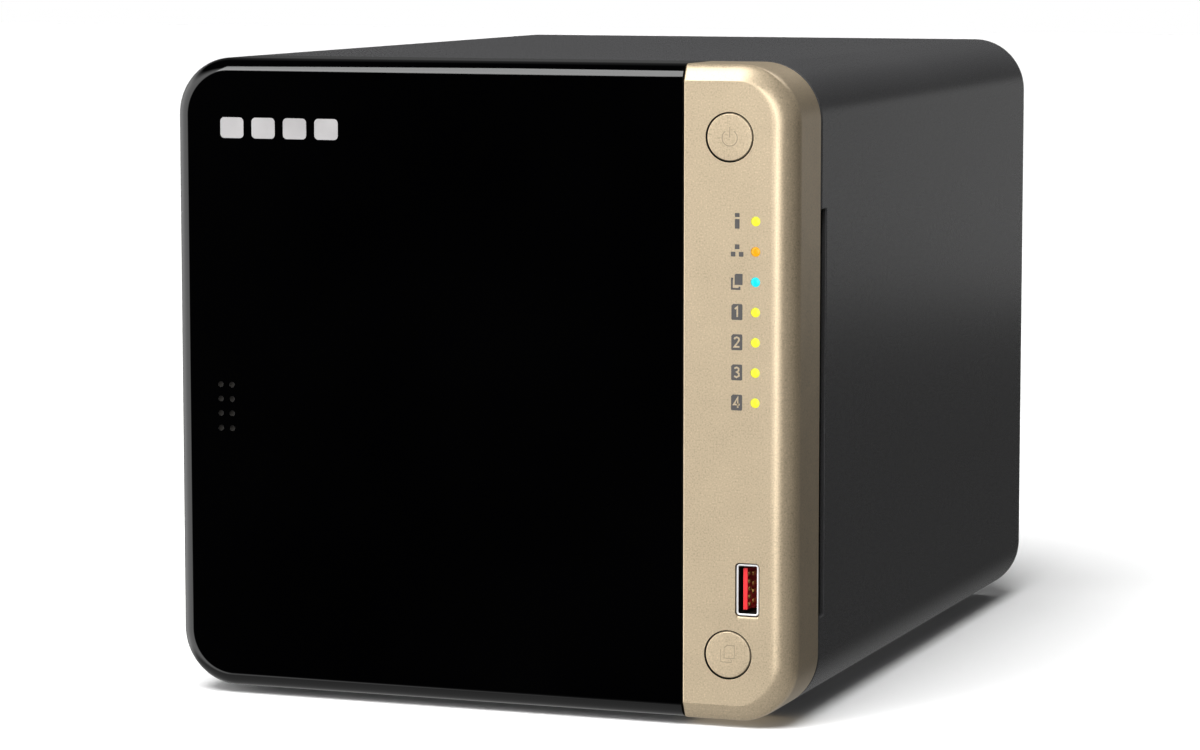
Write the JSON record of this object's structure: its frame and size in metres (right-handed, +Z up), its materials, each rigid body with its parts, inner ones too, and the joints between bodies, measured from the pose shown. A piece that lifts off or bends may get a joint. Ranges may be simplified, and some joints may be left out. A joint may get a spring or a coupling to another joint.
{
  "type": "network storage enclosure",
  "caption": "Desktop storage enclosure with upright drive bays behind a gloss lift-off cover, and a gold control column with buttons, lamps and a USB socket.",
  "frame": {"origin": "on the surface it stands on, under the middle of the case", "axes": "+Z up, -Y out of the front, +X to the right as seen from the front"},
  "size_m": [0.17, 0.226, 0.1676],
  "materials": {
    "sleeve_steel": "fine matt dark grey powder coat",
    "chassis_dark": "satin black paint on sheet steel",
    "rubber_black": "matt",
    "screw_black": "satin black oxide",
    "cover_black": "smoked black, polished",
    "magnet": "bright nickel",
    "plated_steel": "bright plated",
    "bezel_plastic": "fine textured black",
    "column_gold": "satin champagne gold with fine metallic fleck",
    "button_gold": "satin champagne gold with fine metallic fleck",
    "lamp_yellow": "lit lens",
    "lamp_amber": "lit lens",
    "lamp_cyan": "lit lens",
    "red_plastic": "moulded red",
    "circuit_board": "green solder mask",
    "connector_plastic": "black moulding",
    "screw_steel": "zinc plated",
    "cage_steel": "galvanised sheet",
    "fan_plastic": "black moulding",
    "brass": "turned",
    "chip_grey": "dark package",
    "aluminium": "extruded, plain",
    "memory_board": "green solder mask",
    "cable_white": "white flat cable",
    "button_grey": "grey moulding",
    "tray_plastic": "fine textured black",
    "lever_plastic": "satin dark grey",
    "latch_plastic": "satin grey"
  },
  "bodies": {
    "chassis": {"case_cover": "sleeve_steel", "base_plate": "chassis_dark", "rubber_feet": "rubber_black", "case_screws": "screw_black", "rear_panel": "chassis_dark", "keeper_plates": "plated_steel", "front_frame": "bezel_plastic", "control_panel": "column_gold", "led_status": "lamp_yellow", "led_network": "lamp_amber", "led_copy": "lamp_cyan", "led_bays": "lamp_yellow", "front_usb_shell": "plated_steel", "front_usb_tongue": "red_plastic", "front_board": "circuit_board", "front_switches": "connector_plastic", "front_board_screws": "screw_steel", "cage_side_walls": "cage_steel", "cage_decks": "cage_steel", "bay_rails_lower": "bezel_plastic", "bay_rails_upper": "bezel_plastic", "backplane": "circuit_board", "sata_sockets": "connector_plastic", "backplane_slot": "connector_plastic", "fan_frame": "fan_plastic", "fan_screws": "screw_black", "mainboard": "circuit_board", "board_spacers": "brass", "processor": "chip_grey", "heatsink": "aluminium", "memory_socket": "connector_plastic", "memory_module": "memory_board", "panel_cable": "cable_white", "hdmi_port": "plated_steel", "network_port": "plated_steel", "rear_usb_ports": "plated_steel", "dc_jack": "connector_plastic", "reset_switch": "connector_plastic"},
    "front_cover": {"front_cover": "cover_black", "cover_magnets": "magnet"},
    "power_button": {"power_button": "button_gold"},
    "copy_button": {"copy_button": "button_gold"},
    "reset_button": {"reset_button": "button_grey"},
    "fan_rotor": {"fan_rotor": "fan_plastic"},
    "tray_1": {"tray_1": "tray_plastic", "tray_pin_1": "screw_steel"},
    "lever_1": {"tray_lever_1": "lever_plastic"},
    "latch_1": {"tray_latch_1": "latch_plastic"},
    "tray_2": {"tray_2": "tray_plastic", "tray_pin_2": "screw_steel"},
    "lever_2": {"tray_lever_2": "lever_plastic"},
    "latch_2": {"tray_latch_2": "latch_plastic"},
    "tray_3": {"tray_3": "tray_plastic", "tray_pin_3": "screw_steel"},
    "lever_3": {"tray_lever_3": "lever_plastic"},
    "latch_3": {"tray_latch_3": "latch_plastic"},
    "tray_4": {"tray_4": "tray_plastic", "tray_pin_4": "screw_steel"},
    "lever_4": {"tray_lever_4": "lever_plastic"},
    "latch_4": {"tray_latch_4": "latch_plastic"}
  },
  "joints": [
    {"name": "cover_off", "type": "slide", "parent": "chassis", "child": "front_cover", "axis": [0, -1, 0], "range_m": [0, 0.3]},
    {"name": "power_press", "type": "slide", "parent": "chassis", "child": "power_button", "axis": [0, 1, 0], "range_m": [0, 0.001], "stiffness_N_per_m": 600},
    {"name": "copy_press", "type": "slide", "parent": "chassis", "child": "copy_button", "axis": [0, 1, 0], "range_m": [0, 0.001], "stiffness_N_per_m": 600},
    {"name": "reset_press", "type": "slide", "parent": "chassis", "child": "reset_button", "axis": [0, -1, 0], "range_m": [0, 0.0006], "stiffness_N_per_m": 600},
    {"name": "fan_spin", "type": "hinge", "parent": "chassis", "child": "fan_rotor", "pos_m": [-0.012, 0.0958, 0.076], "axis": [0, 1, 0], "continuous": true},
    {"name": "tray_1_slide", "type": "slide", "parent": "chassis", "child": "tray_1", "axis": [0, -1, 0], "range_m": [0, 0.15]},
    {"name": "lever_1_turn", "type": "hinge", "parent": "tray_1", "child": "lever_1", "pos_m": [-0.0544, -0.0998, 0.0225], "axis": [1, 0, 0], "range_deg": [0, 40]},
    {"name": "latch_1_press", "type": "slide", "parent": "tray_1", "child": "latch_1", "axis": [0, 1, 0], "range_m": [0, 0.0015], "stiffness_N_per_m": 500},
    {"name": "tray_2_slide", "type": "slide", "parent": "chassis", "child": "tray_2", "axis": [0, -1, 0], "range_m": [0, 0.15]},
    {"name": "lever_2_turn", "type": "hinge", "parent": "tray_2", "child": "lever_2", "pos_m": [-0.0244, -0.0998, 0.0225], "axis": [1, 0, 0], "range_deg": [0, 40]},
    {"name": "latch_2_press", "type": "slide", "parent": "tray_2", "child": "latch_2", "axis": [0, 1, 0], "range_m": [0, 0.0015], "stiffness_N_per_m": 500},
    {"name": "tray_3_slide", "type": "slide", "parent": "chassis", "child": "tray_3", "axis": [0, -1, 0], "range_m": [0, 0.15]},
    {"name": "lever_3_turn", "type": "hinge", "parent": "tray_3", "child": "lever_3", "pos_m": [0.0056, -0.0998, 0.0225], "axis": [1, 0, 0], "range_deg": [0, 40]},
    {"name": "latch_3_press", "type": "slide", "parent": "tray_3", "child": "latch_3", "axis": [0, 1, 0], "range_m": [0, 0.0015], "stiffness_N_per_m": 500},
    {"name": "tray_4_slide", "type": "slide", "parent": "chassis", "child": "tray_4", "axis": [0, -1, 0], "range_m": [0, 0.15]},
    {"name": "lever_4_turn", "type": "hinge", "parent": "tray_4", "child": "lever_4", "pos_m": [0.0356, -0.0998, 0.0225], "axis": [1, 0, 0], "range_deg": [0, 40]},
    {"name": "latch_4_press", "type": "slide", "parent": "tray_4", "child": "latch_4", "axis": [0, 1, 0], "range_m": [0, 0.0015], "stiffness_N_per_m": 500}
  ],
  "couplings": [
    {"joint": "tray_1_slide", "follows": "cover_off", "ratio": 0.49},
    {"joint": "lever_1_turn", "follows": "cover_off", "rad_per_m": 2.3},
    {"joint": "tray_2_slide", "follows": "cover_off", "ratio": 0.49},
    {"joint": "lever_2_turn", "follows": "cover_off", "rad_per_m": 2.3},
    {"joint": "tray_3_slide", "follows": "cover_off", "ratio": 0.49},
    {"joint": "lever_3_turn", "follows": "cover_off", "rad_per_m": 2.3},
    {"joint": "tray_4_slide", "follows": "cover_off", "ratio": 0.49},
    {"joint": "lever_4_turn", "follows": "cover_off", "rad_per_m": 2.3}
  ]
}
